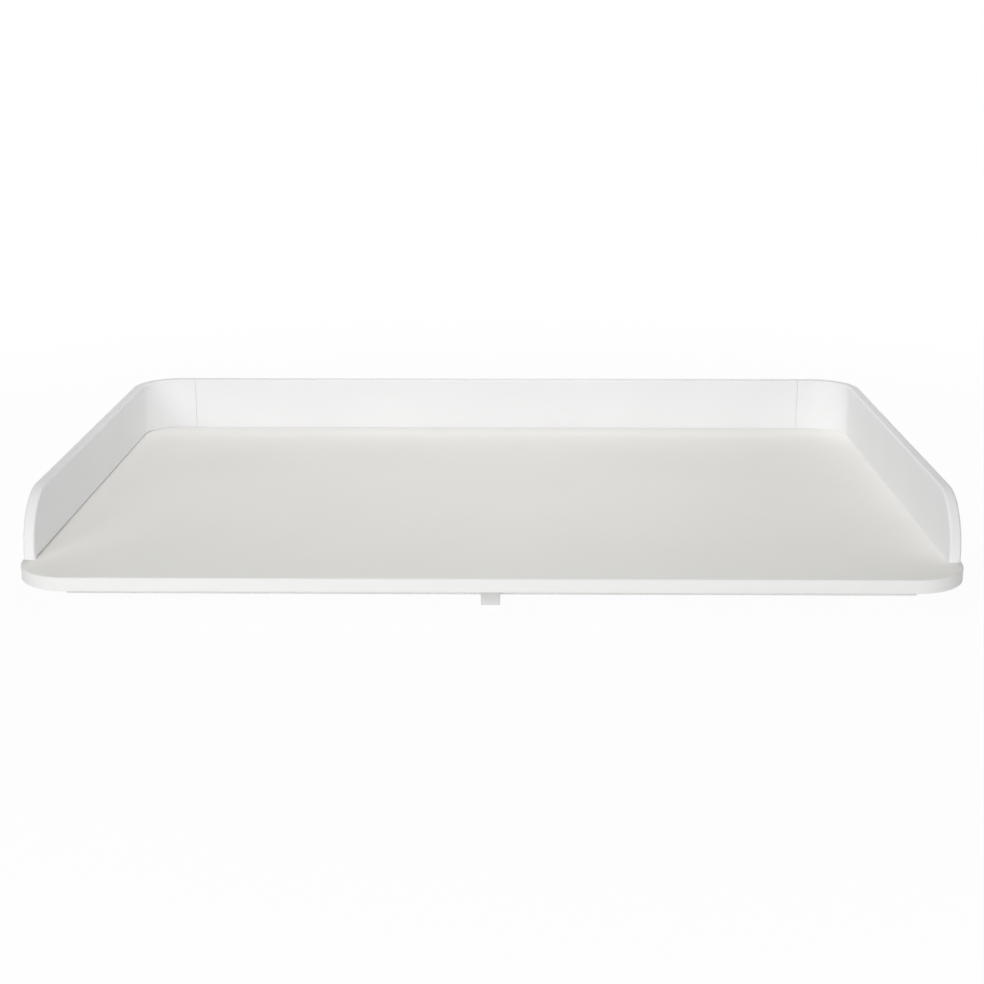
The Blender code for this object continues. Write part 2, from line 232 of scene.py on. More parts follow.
def turned(rows, sides):
    """A bmesh turned about Z through (radius, height) rows that start and end on the axis."""
    bm = bmesh.new()
    rings = []
    for radius, height in rows:
        if radius == 0:
            rings.append([bm.verts.new((0, 0, height))])
            continue
        turns = [math.tau * side / sides for side in range(sides)]
        rings.append(
            [bm.verts.new((radius * math.cos(t), radius * math.sin(t), height)) for t in turns]
        )
    for lower, upper in zip(rings, rings[1:]):
        for side in range(sides):
            onward = (side + 1) % sides
            if len(lower) == 1:
                bm.faces.new((lower[0], upper[onward], upper[side]))
            elif len(upper) == 1:
                bm.faces.new((lower[side], lower[onward], upper[0]))
            else:
                bm.faces.new((lower[side], lower[onward], upper[onward], upper[side]))
    bmesh.ops.recalc_face_normals(bm, faces=bm.faces)
    return bm


def as_object(bm, name):
    """A linked object of the bmesh, smooth but for its sharp edges."""
    mesh = bpy.data.meshes.new(name)
    bm.to_mesh(mesh)
    bm.free()
    mesh.shade_smooth()
    mesh.set_sharp_from_angle(angle=SHARP_ANGLE)
    obj = bpy.data.objects.new(name, mesh)
    bpy.context.scene.collection.objects.link(obj)
    return obj


def add_cut(obj, cutter):
    cut = obj.modifiers.new("cut", "BOOLEAN")
    cut.operation = "DIFFERENCE"
    cut.solver = "EXACT"
    cut.object = cutter


def add_tree(obj, tree, values):
    """Puts a Geometry Nodes tree on the object and gives its named inputs their values."""
    modifier = obj.modifiers.new(tree.name, "NODES")
    modifier.node_group = tree
    for item in tree.interface.items_tree:
        if item.in_out == "INPUT" and item.name in values:
            modifier[item.identifier] = values[item.name]


def plain_mesh(obj, name):
    """The object's shape with its modifiers applied, as a mesh of its own."""
    graph = bpy.context.evaluated_depsgraph_get()
    mesh = bpy.data.meshes.new_from_object(
        obj.evaluated_get(graph), preserve_all_data_layers=True, depsgraph=graph
    )
    mesh.name = name
    return mesh


def discard(*objects):
    for obj in objects:
        bpy.data.objects.remove(obj, do_unlink=True)


def grain_along(mesh, axis):
    """Stores each point's place with the grain's run first, for the finishes that have a grain."""
    order = [axis] + [other for other in range(3) if other != axis]
    grain = mesh.attributes.new("grain", "FLOAT_VECTOR", "POINT")
    values = [vertex.co[place] for vertex in mesh.vertices for place in order]
    grain.data.foreach_set("vector", values)


def finish_piece(obj, name, nodes, finish=None, grain=None):
    """Makes the object a plain mesh that rides on the frame and stands for the nodes."""
    smooth = obj.modifiers.new("flat faces stay flat", "WEIGHTED_NORMAL")
    smooth.keep_sharp = True
    mesh = plain_mesh(obj, name)
    discard(obj)
    if finish is not None:
        mesh.materials.clear()
        mesh.materials.append(finish)
    if grain is not None:
        grain_along(mesh, grain)
    piece = bpy.data.objects.new(name, mesh)
    bpy.context.scene.collection.objects.link(piece)
    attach(piece, BODY)
    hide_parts(*nodes)


def nodes_named(*starts):
    return sorted(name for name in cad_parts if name.startswith(starts))


# The fasteners and their holes


def upright(node):
    """Whether a fastener stands upright, and its lowest corner, highest corner and middle."""
    low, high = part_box(node)
    span = high - low
    return span.z >= span.x, low, high, (low + high) / 2


def screw_hole_rows(sizes, long, past, mouth):
    """The outline of a screw's hole, whose head lies at zero.

    It starts below the head by "mouth" and ends above the screw's point by "past".
    """
    head = sizes.head / 2 + sizes.clearance
    shank = sizes.thread / 2 + sizes.clearance
    seat = sizes.head_edge + sizes.head / 2 - sizes.thread / 2
    return [
        (0, -mouth),
        (head, -mouth),
        (head, sizes.head_edge),
        (shank, seat),
        (shank, long - sizes.point + past),
        (0, long + past),
    ]


def add_holes(obj, sizes, fasteners, mouth=4 * MM, end_room=0.8 * MM):
    """Cuts the holes of the named fasteners out of the object, and gives back the cutter."""
    bm = bmesh.new()
    for node in fasteners:
        stands, low, high, middle = upright(node)
        if "screw" in node:
            rows = screw_hole_rows(sizes, high.z - low.z, end_room, mouth)
            place = Matrix.Translation((middle.x, middle.y, low.z))
        else:
            far = max(high - low) / 2 + end_room
            bore = (high.y - low.y) / 2 + sizes.clearance
            rows = [(0, -far), (bore, -far), (bore, far), (0, far)]
            turn = Matrix.Identity(4) if stands else Matrix.Rotation(QUARTER_TURN, 4, "Y")
            place = Matrix.Translation(middle) @ turn
        hole = turned(rows, HOLE_SIDES)
        hole.transform(place)
        mesh = bpy.data.meshes.new("hole")
        hole.to_mesh(mesh)
        hole.free()
        bm.from_mesh(mesh)
        bpy.data.meshes.remove(mesh)
    cutter = as_object(bm, "holes")
    add_cut(obj, cutter)
    return cutter


def screw_blank(sizes, long):
    """A countersunk screw with a cross in its head, and the height where its thread starts.

    The thread itself is left to the tree.
    """
    head = sizes.head / 2
    shank = sizes.shank / 2
    core = sizes.core / 2
    broken = 0.12 * MM
    plain_share = 0.3
    seat = sizes.head_edge + head - shank
    plain = seat + (long - seat) * plain_share
    rows = [(0, 0), (head - broken, 0), (head, broken), (head, sizes.head_edge), (shank, seat)]
    rows += [(shank, plain), (core, plain + shank - core)]
    step = sizes.pitch / ROWS_A_THREAD
    height = plain + shank - core + step
    while height < long - sizes.point:
        rows.append((core, height))
        height += step
    while height < long - step:
        rows.append((core * (long - height) / sizes.point, height))
        height += step
    rows.append((0, long))
    blank = as_object(turned(rows, SCREW_SIDES), "blank")
    far = sizes.recess / 2
    near = sizes.recess_arm / 2
    overrun = 1 * MM
    taper = 0.55
    outline = []
    for turn in range(4):
        spin = Matrix.Rotation(QUARTER_TURN * turn, 2)
        outline += [spin @ Vector(point) for point in ((far, -near), (far, near), (near, near))]
    bm = prism([(x, y, -overrun) for x, y in outline], (0, 0, overrun + sizes.recess_depth))
    deep = [vertex for vertex in bm.verts if vertex.co.z > 0]
    bmesh.ops.scale(bm, vec=(taper, taper, 1), verts=deep)
    recess = as_object(bm, "recess")
    add_cut(blank, recess)
    mesh = plain_mesh(blank, "screw")
    discard(blank, recess)
    mesh.shade_smooth()
    mesh.set_sharp_from_angle(angle=SHARP_ANGLE)
    return mesh, plain


def dowel_blank(sizes, long, diameter):
    """A dowel about its middle, without its flutes, which the tree adds."""
    radius = diameter / 2
    end = long / 2
    tip = radius - sizes.chamfer
    run = end - sizes.chamfer
    # A row of points near each end, between which the flutes run at their full depth
    near_end = run * 0.9
    rows = [(0, -end), (tip, -end), (radius, -run), (radius, -near_end), (radius, 0)]
    rows += [(radius, near_end), (radius, run), (tip, end), (0, end)]
    blank = as_object(turned(rows, sizes.flutes * SIDES_A_FLUTE), "blank")
    mesh = plain_mesh(blank, "dowel")
    discard(blank)
    return mesh


# Geometry Nodes


def add_node(tree, kind, sockets=(), stops=(), **settings):
    """Adds a node, sets what it has, and fills its inputs by place or name with values or links.

    The stops of a colour ramp are pairs of a place and a colour.
    """
    made = tree.nodes.new(kind)
    for key, value in settings.items():
        setattr(made, key, value)
    for key, value in sockets.items() if isinstance(sockets, dict) else enumerate(sockets):
        if isinstance(value, bpy.types.NodeSocket):
            tree.links.new(value, made.inputs[key])
        elif value is not None:
            made.inputs[key].default_value = value
    for number, (place, tone) in enumerate(stops):
        made.color_ramp.elements[number].position = place
        made.color_ramp.elements[number].color = (*tone, 1.0)
    return made


def new_tree(name, inputs):
    """An empty Geometry Nodes tree with a geometry, the named inputs and a geometry out."""
    tree = bpy.data.node_groups.new(name, "GeometryNodeTree")
    tree.is_modifier = True
    tree.interface.new_socket("Geometry", in_out="INPUT", socket_type="NodeSocketGeometry")
    for label, kind in inputs.items():
        tree.interface.new_socket(label, in_out="INPUT", socket_type="NodeSocket" + kind)
    tree.interface.new_socket("Geometry", in_out="OUTPUT", socket_type="NodeSocketGeometry")
    return tree, add_node(tree, "NodeGroupInput").outputs


def end_tree(tree, geometry, finish):
    real = add_node(tree, "GeometryNodeRealizeInstances", (geometry,)).outputs[0]
    done = add_node(tree, "GeometryNodeSetMaterial", {"Geometry": real, "Material": finish})
    add_node(tree, "NodeGroupOutput", (done.outputs[0],))


def bend_tree():
    """Bends a straight plate round a rear corner, as the real plywood is bent round its form.

    A point past the start of the bend is carried as far round the arc as it lay along the plate,
    and what is left over runs straight on.
    """
    inputs = {"Corner across": "Float", "Corner along": "Float", "Radius": "Float"}
    inputs |= {"Side": "Float", "Finish": "Material"}
    tree, given = new_tree("bend_round_corner", inputs)
    place = add_node(tree, "GeometryNodeInputPosition").outputs[0]
    x, y, z = add_node(tree, "ShaderNodeSeparateXYZ", (place,)).outputs
    math_node = "ShaderNodeMath"
    outward = add_node(tree, math_node, (x, given["Side"]), operation="MULTIPLY").outputs[0]
    reach = add_node(
        tree, math_node, (outward, given["Corner across"]), operation="SUBTRACT"
    ).outputs[0]
    beyond = add_node(tree, math_node, (y, given["Corner along"]), operation="SUBTRACT").outputs[0]
    run = add_node(tree, math_node, (beyond, 0.0), operation="MAXIMUM").outputs[0]
    whole = add_node(
        tree, math_node, (given["Radius"], QUARTER_TURN), operation="MULTIPLY"
    ).outputs[0]
    bent = add_node(tree, math_node, (run, whole), operation="MINIMUM").outputs[0]
    angle = add_node(tree, math_node, (bent, given["Radius"]), operation="DIVIDE").outputs[0]
    left_over = add_node(tree, math_node, (run, bent), operation="SUBTRACT").outputs[0]
    cosine = add_node(tree, math_node, (angle,), operation="COSINE").outputs[0]
    sine = add_node(tree, math_node, (angle,), operation="SINE").outputs[0]
    across = add_node(
        tree, math_node, (reach, cosine, given["Corner across"]), operation="MULTIPLY_ADD"
    ).outputs[0]
    across = add_node(tree, math_node, (across, left_over), operation="SUBTRACT").outputs[0]
    across = add_node(tree, math_node, (across, given["Side"]), operation="MULTIPLY").outputs[0]
    straight = add_node(
        tree, math_node, (y, given["Corner along"]), operation="MINIMUM"
    ).outputs[0]
    along = add_node(
        tree, math_node, (reach, sine, straight), operation="MULTIPLY_ADD"
    ).outputs[0]
    moved = add_node(tree, "ShaderNodeCombineXYZ", (across, along, z)).outputs[0]
    plate = add_node(
        tree, "GeometryNodeSetPosition", {"Geometry": given["Geometry"], "Position": moved}
    ).outputs[0]
    end_tree(tree, plate, given["Finish"])
    return tree


def fastener_tree():
    """Cuts a ripple round a turned blank, a screw's thread or a dowel's flutes, and sets it out.

    The wave goes "Waves round" times round the blank and climbs once in every "Pitch". It stands
    out by "Height" between the levels "From" and "To", and fades over "Fade" at both.
    """
    inputs = {"Blank": "Object", "Waves round": "Float", "Pitch": "Float", "Height": "Float"}
    inputs |= {"From": "Float", "To": "Float", "Fade": "Float", "Sharpness": "Float"}
    inputs |= {"Finish": "Material"}
    tree, given = new_tree("rippled_fasteners", inputs)
    info = add_node(tree, "GeometryNodeObjectInfo", {"Object": given["Blank"]})
    blank = info.outputs["Geometry"]
    place = add_node(tree, "GeometryNodeInputPosition").outputs[0]
    x, y, z = add_node(tree, "ShaderNodeSeparateXYZ", (place,)).outputs
    math_node = "ShaderNodeMath"
    angle = add_node(tree, math_node, (y, x), operation="ARCTAN2").outputs[0]
    round_it = add_node(
        tree, math_node, (angle, given["Waves round"]), operation="MULTIPLY"
    ).outputs[0]
    climb = add_node(tree, math_node, (z, given["Pitch"]), operation="DIVIDE").outputs[0]
    phase = add_node(
        tree, math_node, (climb, -math.tau, round_it), operation="MULTIPLY_ADD"
    ).outputs[0]
    wave = add_node(tree, math_node, (phase,), operation="COSINE").outputs[0]
    # From between -1 and 1 to between 0 and 1
    wave = add_node(tree, math_node, (wave, 0.5, 0.5), operation="MULTIPLY_ADD").outputs[0]
    wave = add_node(tree, math_node, (wave, given["Sharpness"]), operation="POWER").outputs[0]
    rise_end = add_node(
        tree, math_node, (given["From"], given["Fade"]), operation="ADD"
    ).outputs[0]
    fall_start = add_node(
        tree, math_node, (given["To"], given["Fade"]), operation="SUBTRACT"
    ).outputs[0]
    rise = add_node(
        tree, "ShaderNodeMapRange", (z, given["From"], rise_end), interpolation_type="SMOOTHSTEP"
    ).outputs[0]
    fall = add_node(
        tree, "ShaderNodeMapRange", (z, given["To"], fall_start), interpolation_type="SMOOTHSTEP"
    ).outputs[0]
    window = add_node(tree, math_node, (rise, fall), operation="MULTIPLY").outputs[0]
    size = add_node(tree, math_node, (wave, window), operation="MULTIPLY").outputs[0]
    size = add_node(tree, math_node, (size, given["Height"]), operation="MULTIPLY").outputs[0]
    flat = add_node(tree, "ShaderNodeCombineXYZ", (x, y, 0.0)).outputs[0]
    outward = add_node(tree, "ShaderNodeVectorMath", (flat,), operation="NORMALIZE").outputs[0]
    offset = add_node(
        tree, "ShaderNodeVectorMath", {0: outward, "Scale": size}, operation="SCALE"
    ).outputs[0]
    ripple = add_node(tree, "GeometryNodeSetPosition", {"Geometry": blank, "Offset": offset})
    along_grain = add_node(tree, "ShaderNodeCombineXYZ", (z, x, y)).outputs[0]
    marked = add_node(
        tree,
        "GeometryNodeStoreNamedAttribute",
        {"Geometry": ripple.outputs[0], "Name": "grain", "Value": along_grain},
        data_type="FLOAT_VECTOR",
        domain="POINT",
    )
    turn = add_node(
        tree, "GeometryNodeInputNamedAttribute", {"Name": "turn"}, data_type="FLOAT_VECTOR"
    )
    rotation = add_node(tree, "FunctionNodeEulerToRotation", (turn.outputs["Attribute"],))
    points = add_node(tree, "GeometryNodeMeshToPoints", {"Mesh": given["Geometry"]}).outputs[0]
    copies = add_node(
        tree,
        "GeometryNodeInstanceOnPoints",
        {"Points": points, "Instance": marked.outputs[0], "Rotation": rotation.outputs[0]},
    )
    end_tree(tree, copies.outputs[0], given["Finish"])
    return tree


def places(name, spots):
    """A mesh of loose points, each with the turn that its fastener takes there."""
    mesh = bpy.data.meshes.new(name)
    mesh.from_pydata([place for place, _ in spots], [], [])
    turn = mesh.attributes.new("turn", "FLOAT_VECTOR", "POINT")
    turn.data.foreach_set("vector", [value for _, angles in spots for value in angles])
    obj = bpy.data.objects.new(name, mesh)
    bpy.context.scene.collection.objects.link(obj)
    return obj


# Finishes


def new_material(name):
    """An empty material, its tree and the Principled shader that ends it."""
    made = bpy.data.materials.new(name)
    made.use_nodes = True
    tree = made.node_tree
    tree.nodes.clear()
    shader = add_node(tree, "ShaderNodeBsdfPrincipled")
    add_node(tree, "ShaderNodeOutputMaterial", (shader.outputs[0],))
    return made, tree, shader


def satin_lacquer(name, tint, smooth, rough, edge=None, level=0.0):
    """Two-part satin lacquer, sprayed on board and rubbed down between coats.

    It looks smooth and even, with a soft sheen. A slight orange peel breaks up its reflections,
    and the film is a shade thinner in places. An edge that is sprayed on its own has another
    white, which meets the upper face's halfway round the arris at this level.
    """
    made, tree, shader = new_material(name)
    place = add_node(tree, "ShaderNodeTexCoord").outputs["Object"]
    cloud_size = 160 * MM
    cloud = add_node(
        tree, "ShaderNodeTexNoise", {"Vector": place, "Scale": 1 / cloud_size, "Detail": 2.0}
    ).outputs["Fac"]
    thin_film = 0.985
    stops = ((0.35, [value * thin_film for value in tint]), (0.65, tint))
    coat = add_node(tree, "ShaderNodeValToRGB", (cloud,), stops).outputs[0]
    if edge is not None:
        height = add_node(tree, "ShaderNodeSeparateXYZ", (place,)).outputs["Z"]
        blur = 0.4 * MM
        upper = add_node(
            tree, "ShaderNodeMapRange", (height, level - blur, level + blur)
        ).outputs[0]
        # The Mix node's share is input 0, and its colours are inputs 6 and 7 and output 2
        mixed = {0: upper, 6: (*edge, 1.0), 7: coat}
        coat = add_node(tree, "ShaderNodeMix", mixed, data_type="RGBA").outputs[2]
    # Real orange peel is 1 to 2 mm wide and drawn at 5 mm, which is what the picture can show
    peel_size = 5 * MM
    peel = add_node(
        tree, "ShaderNodeTexNoise", {"Vector": place, "Scale": 1 / peel_size, "Detail": 1.0}
    ).outputs["Fac"]
    rubbed_size = 30 * MM
    rubbed = add_node(
        tree, "ShaderNodeTexNoise", {"Vector": place, "Scale": 1 / rubbed_size, "Detail": 3.0}
    ).outputs["Fac"]
    sheen = add_node(
        tree, "ShaderNodeMapRange", {"Value": rubbed, "To Min": smooth, "To Max": rough}
    ).outputs[0]
    bump = add_node(
        tree, "ShaderNodeBump", {"Height": peel, "Strength": 0.25, "Distance": 0.02 * MM}
    ).outputs[0]
    shader.inputs["IOR"].default_value = 1.45
    for socket, value in (("Base Color", coat), ("Roughness", sheen), ("Normal", bump)):
        tree.links.new(value, shader.inputs[socket])
    return made


def matt_paint(name, tint):
    """One brushed coat of matt paint on planed pine, with the grain just showing through."""
    made, tree, shader = new_material(name)
    grain = add_node(tree, "ShaderNodeAttribute", attribute_name="grain").outputs["Vector"]
    # Growth rings 3 mm apart, drawn out 25 times along the batten
    ring_size = 3 * MM
    ring_run = 1 / 25
    stretched = add_node(
        tree, "ShaderNodeMapping", {"Vector": grain, "Scale": (ring_run, 1.0, 1.0)}
    ).outputs[0]
    rings = add_node(
        tree,
        "ShaderNodeTexNoise",
        {"Vector": stretched, "Scale": 1 / ring_size, "Detail": 3.0, "Distortion": 0.4},
    ).outputs["Fac"]
    # The late wood of each ring shows through a little darker and yellower
    late_wood = (0.97, 0.96, 0.94)
    stops = ((0.3, [value * shade for value, shade in zip(tint, late_wood)]), (0.6, tint))
    colour_out = add_node(tree, "ShaderNodeValToRGB", (rings,), stops).outputs[0]
    # Brush marks 0.6 mm apart, drawn out 100 times
    brush_size = 0.6 * MM
    brush_run = 1 / 100
    strokes = add_node(
        tree, "ShaderNodeMapping", {"Vector": grain, "Scale": (brush_run, 1.0, 1.0)}
    ).outputs[0]
    marks = add_node(
        tree, "ShaderNodeTexNoise", {"Vector": strokes, "Scale": 1 / brush_size, "Detail": 2.0}
    ).outputs["Fac"]
    ring_weight = 2.0
    height = add_node(
        tree, "ShaderNodeMath", (rings, ring_weight, marks), operation="MULTIPLY_ADD"
    ).outputs[0]
    bump = add_node(
        tree, "ShaderNodeBump", {"Height": height, "Strength": 0.5, "Distance": 0.05 * MM}
    ).outputs[0]
    matt = add_node(
        tree, "ShaderNodeMapRange", {"Value": marks, "To Min": 0.58, "To Max": 0.72}
    ).outputs[0]
    for socket, value in (("Base Color", colour_out), ("Roughness", matt), ("Normal", bump)):
        tree.links.new(value, shader.inputs[socket])
    return made


def bare_beech(name, wood, fleck):
    """Turned beech left bare: fine straight grain with short dark flecks along it."""
    made, tree, shader = new_material(name)
    grain = add_node(tree, "ShaderNodeAttribute", attribute_name="grain").outputs["Vector"]
    fleck_size = 0.5 * MM
    fleck_run = 0.15
    stretched = add_node(
        tree, "ShaderNodeMapping", {"Vector": grain, "Scale": (fleck_run, 1.0, 1.0)}
    ).outputs[0]
    flecks = add_node(
        tree, "ShaderNodeTexNoise", {"Vector": stretched, "Scale": 1 / fleck_size, "Detail": 3.0}
    ).outputs["Fac"]
    stops = ((0.34, fleck), (0.52, wood))
    colour_out = add_node(tree, "ShaderNodeValToRGB", (flecks,), stops).outputs[0]
    bump = add_node(
        tree, "ShaderNodeBump", {"Height": flecks, "Strength": 0.4, "Distance": 0.05 * MM}
    ).outputs[0]
    dull = add_node(
        tree, "ShaderNodeMapRange", {"Value": flecks, "To Min": 0.6, "To Max": 0.75}
    ).outputs[0]
    for socket, value in (("Base Color", colour_out), ("Roughness", dull), ("Normal", bump)):
        tree.links.new(value, shader.inputs[socket])
    return made


def zinc_plate(name, metal):
    """Bright zinc plate on steel: an even grey metal, with a faint cloud from the plating bath."""
    made, tree, shader = new_material(name)
    place = add_node(tree, "ShaderNodeTexCoord").outputs["Object"]
    cloud_size = 1.5 * MM
    cloud = add_node(
        tree, "ShaderNodeTexNoise", {"Vector": place, "Scale": 1 / cloud_size, "Detail": 3.0}
    ).outputs["Fac"]
    dulled = 0.8
    stops = ((0.3, [value * dulled for value in metal]), (0.7, metal))
    colour_out = add_node(tree, "ShaderNodeValToRGB", (cloud,), stops).outputs[0]
    polish = add_node(
        tree, "ShaderNodeMapRange", {"Value": cloud, "To Min": 0.24, "To Max": 0.42}
    ).outputs[0]
    shader.inputs["Metallic"].default_value = 1.0
    for socket, value in (("Base Color", colour_out), ("Roughness", polish)):
        tree.links.new(value, shader.inputs[socket])
    return made


def finish_named(name):
    """The material of this name, made when the first piece asks for it."""
    if name in bpy.data.materials:
        return bpy.data.materials[name]
    sizes = bpy.context.scene.changing_top_sizes
    colours = bpy.context.scene.changing_top_colours
    if name == "satin_lacquer_board":
        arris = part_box("base_board")[1].z - sizes.board_round / 2
        return satin_lacquer(
            name, colours.board, smooth=0.48, rough=0.58, edge=colours.board_edge, level=arris
        )
    if name == "satin_lacquer_rim":
        return satin_lacquer(name, colours.rim, smooth=0.72, rough=0.82)
    if name == "matt_paint_on_pine":
        return matt_paint(name, colours.batten)
    # The stop block's finish is the battens' matt paint with painted shade: its grey stands in for
    # the shade under the board.
    if name == "matt_paint_with_painted_shade_on_pine":
        return matt_paint(name, colours.stop)
    if name == "bare_beech":
        return bare_beech(name, colours.beech, colours.beech_fleck)
    return zinc_plate(name, colours.zinc)


# The pieces


class TOP_OT_board(bpy.types.Operator):
    """Build the board with its rounded corners and the holes for its fasteners"""

    bl_idname = "changing_top.board"
    bl_label = "Board"

    def execute(self, context):
        sizes = context.scene.changing_top_sizes
        low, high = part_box("base_board")
        # The rear corners run round the rim's bend and stay as far from it as from the back
        rear = sizes.bend + high.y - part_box("back_panel")[1].y
        outline = []
        for radius, x, y, start in (
            (sizes.front_corner, low.x + sizes.front_corner, low.y + sizes.front_corner, 180),
            (sizes.front_corner, high.x - sizes.front_corner, low.y + sizes.front_corner, 270),
            (rear, high.x - rear, high.y - rear, 0),
            (rear, low.x + rear, high.y - rear, 90),
        ):
            outline += arc(x, y, radius, start, start + 90)
        bm = prism([(x, y, low.z) for x, y in outline], (0, 0, high.z - low.z))
        round_edges(bm, sizes.board_round, among=faces_on(bm, 2, high.z))
        round_edges(bm, sizes.under_round, among=faces_on(bm, 2, low.z))
        board = as_object(bm, "board")
        fasteners = [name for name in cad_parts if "_screw_" in name or "rim_dowel" in name]
        holes = add_holes(board, sizes, sorted(fasteners))
        finish = finish_named("satin_lacquer_board")
        finish_piece(board, "board", ["base_board"], finish)
        discard(holes)
        return {"FINISHED"}


def foot_level(sizes):
    """Where the rim's foot stands, a line of paint above the board."""
    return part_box("base_board")[1].z + sizes.joint


def side_plate(sizes, low, high, side, thickness):
    """The side panel as it is before bending: a straight plate with a rounded nose."""
    outer = high.x if side > 0 else low.x
    seam = low.x if side > 0 else high.x
    corner_x = high.x - sizes.bend if side > 0 else -low.x - sizes.bend
    corner_y = high.y - sizes.bend
    bend_run = sizes.bend * QUARTER_TURN
    end = corner_y + bend_run + corner_x - side * seam
    nose = arc(low.y + sizes.nose, high.z - sizes.nose, sizes.nose, 90, 180)
    sole = foot_level(sizes)
    outline = [(end, sole), (end, high.z), *nose, (low.y, sole)]
    bm = prism([(outer, y, z) for y, z in outline], (-side * thickness, 0, 0))
    opening = low.y + sizes.joint_start
    lines = [corner_y + bend_run * step / CORNER_STEPS for step in range(CORNER_STEPS + 1)]
    for line in [opening, opening + sizes.joint_run, *lines]:
        everything = [*bm.verts, *bm.edges, *bm.faces]
        bmesh.ops.bisect_plane(bm, geom=everything, plane_co=(0, line, 0), plane_no=(0, 1, 0))
    round_edges(bm, sizes.rim_round, kept=faces_on(bm, 1, end) | faces_on(bm, 2, sole))
    round_edges(bm, sizes.foot_round, kept=faces_on(bm, 1, end))
    round_edges(bm, sizes.seam_round, among=faces_on(bm, 1, end))
    if side < 0:
        # This foot is planed out of square: it bears on its outer edge and stands open inside,
        # most at the front. The opening ends in the middle of the bend.
        rear_share = 0.56
        closed = corner_y + bend_run / 2
        foot_top = sole + 1.5 * sizes.foot_round
        for vertex in bm.verts:
            if vertex.co.z < foot_top:
                inward = (vertex.co.x - outer) / thickness
                grown = (vertex.co.y - opening) / sizes.joint_run
                left = closed - vertex.co.y
                share = min(max(min(grown, 2 * left / bend_run), 0), 1)
                share *= between(rear_share, 1, left / (closed - opening))
                vertex.co.z += sizes.open_joint * inward * share
    return bm, corner_x, corner_y


class TOP_OT_side_panels(bpy.types.Operator):
    """Build both side panels, each bent round its rear corner"""

    bl_idname = "changing_top.side_panels"
    bl_label = "Side Panels"

    def execute(self, context):
        sizes = context.scene.changing_top_sizes
        back_low, back_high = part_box("back_panel")
        tree = bend_tree()
        finish = finish_named("satin_lacquer_rim")
        for side, word in ((-1, "left"), (1, "right")):
            node = "side_panel_" + word
            low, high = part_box(node)
            bm, across, along = side_plate(sizes, low, high, side, back_high.y - back_low.y)
            panel = as_object(bm, node)
            values = {"Corner across": across, "Corner along": along, "Radius": sizes.bend}
            add_tree(panel, tree, values | {"Side": float(side), "Finish": finish})
            starts = (f"rim_screw_{word}", f"rim_dowel_{word}", f"seam_dowel_{word}")
            holes = add_holes(panel, sizes, nodes_named(*starts))
            finish_piece(panel, "rim_" + word, [node], finish)
            discard(holes)
        return {"FINISHED"}


def panel_ends(bm, low, high):
    return faces_on(bm, 0, low.x) | faces_on(bm, 0, high.x)


class TOP_OT_back_panel(bpy.types.Operator):
    """Build the straight back panel between the two seams"""

    bl_idname = "changing_top.back_panel"
    bl_label = "Back Panel"

    def execute(self, context):
        sizes = context.scene.changing_top_sizes
        low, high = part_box("back_panel")
        low.z = foot_level(sizes)
        bm = block(low, high)
        round_edges(bm, sizes.rim_round, kept=panel_ends(bm, low, high) | faces_on(bm, 2, low.z))
        round_edges(bm, sizes.foot_round, kept=panel_ends(bm, low, high))
        round_edges(bm, sizes.seam_round, among=panel_ends(bm, low, high))
        panel = as_object(bm, "back_panel")
        holes = add_holes(panel, sizes, nodes_named("rim_screw_back", "rim_dowel_back", "seam_"))
        finish = finish_named("satin_lacquer_rim")
        finish_piece(panel, "rim_back", ["back_panel"], finish)
        discard(holes)
        return {"FINISHED"}


def add_batten(context, node, name, fasteners, grain, finish):
    """A planed length of wood with its edges rounded and its screw holes, for the node."""
    sizes = context.scene.changing_top_sizes
    bm = block(*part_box(node))
    round_edges(bm, sizes.batten_round)
    piece = as_object(bm, node)
    holes = add_holes(piece, sizes, fasteners)
    finish_piece(piece, name, [node], finish_named(finish), grain)
    discard(holes)


class TOP_OT_battens(bpy.types.Operator):
    """Build the five battens of the frame under the board"""

    bl_idname = "changing_top.battens"
    bl_label = "Battens"

    def execute(self, context):
        for node, name in BATTENS.items():
            low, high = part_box(node)
            grain = 0 if high.x - low.x > high.y - low.y else 1
            screws = nodes_named(node + "_screw_")
            add_batten(context, node, name, screws, grain, "matt_paint_on_pine")
        return {"FINISHED"}


class TOP_OT_stop_block(bpy.types.Operator):
    """Build the stop block under the middle of the front edge"""

    bl_idname = "changing_top.stop_block"
    bl_label = "Stop Block"

    def execute(self, context):
        screws = nodes_named(STOP_SCREWS)
        # The stop block's darker paint is painted shade from the board's overhang.
        add_batten(context, "stop_block", "stop", screws, 0, "matt_paint_with_painted_shade_on_pine")
        return {"FINISHED"}


